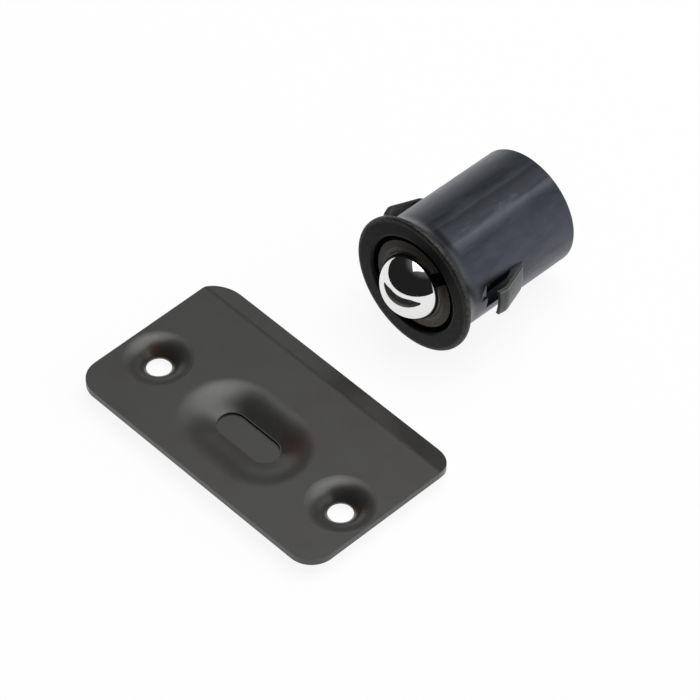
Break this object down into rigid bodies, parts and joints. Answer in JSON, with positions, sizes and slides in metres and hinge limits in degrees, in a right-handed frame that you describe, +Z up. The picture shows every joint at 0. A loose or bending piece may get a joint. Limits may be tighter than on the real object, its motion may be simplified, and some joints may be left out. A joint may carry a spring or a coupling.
{
  "type": "ball catch",
  "caption": "Drive-in spring ball catch: flanged barrel with side barbs and an adjustable ball, beside its dished strike plate.",
  "frame": {"origin": "middle of the set's bounding box, on the ground that both halves stand on", "axes": "+X along the strike plate's long side, +Y from the strike plate towards the barrel's rear, +Z up"},
  "size_m": [0.0572, 0.0782, 0.0254],
  "materials": {
    "plate_bronze": "matte dark bronze",
    "case_steel": "satin black steel",
    "sleeve_bronze": "satin dark bronze",
    "ball_chrome": "mirror",
    "spring_steel": "bright drawn wire"
  },
  "bodies": {
    "set": {"case": "case_steel", "strike_plate": "plate_bronze"},
    "cartridge": {"spring": "spring_steel"},
    "sleeve": {"adjusting_sleeve": "sleeve_bronze"},
    "ball": {"ball": "ball_chrome"}
  },
  "joints": [
    {"name": "sleeve_advance", "type": "slide", "parent": "set", "child": "cartridge", "axis": [-0.0296, 0.9973, -0.0665], "range_m": [-0.001, 0.002]},
    {"name": "sleeve_turn", "type": "hinge", "parent": "cartridge", "child": "sleeve", "pos_m": [0.0014, 0.01053, 0.01269], "axis": [-0.0296, 0.9973, -0.0665], "range_deg": [-340.2, 680.4]},
    {"name": "ball_press", "type": "slide", "parent": "cartridge", "child": "ball", "axis": [-0.0296, 0.9973, -0.0665], "range_m": [0, 0.0032], "stiffness_N_per_m": 3000, "springref_m": -0.003, "deforming": ["spring"]}
  ],
  "couplings": [
    {"joint": "sleeve_turn", "follows": "sleeve_advance", "rad_per_m": 5936.9}
  ]
}
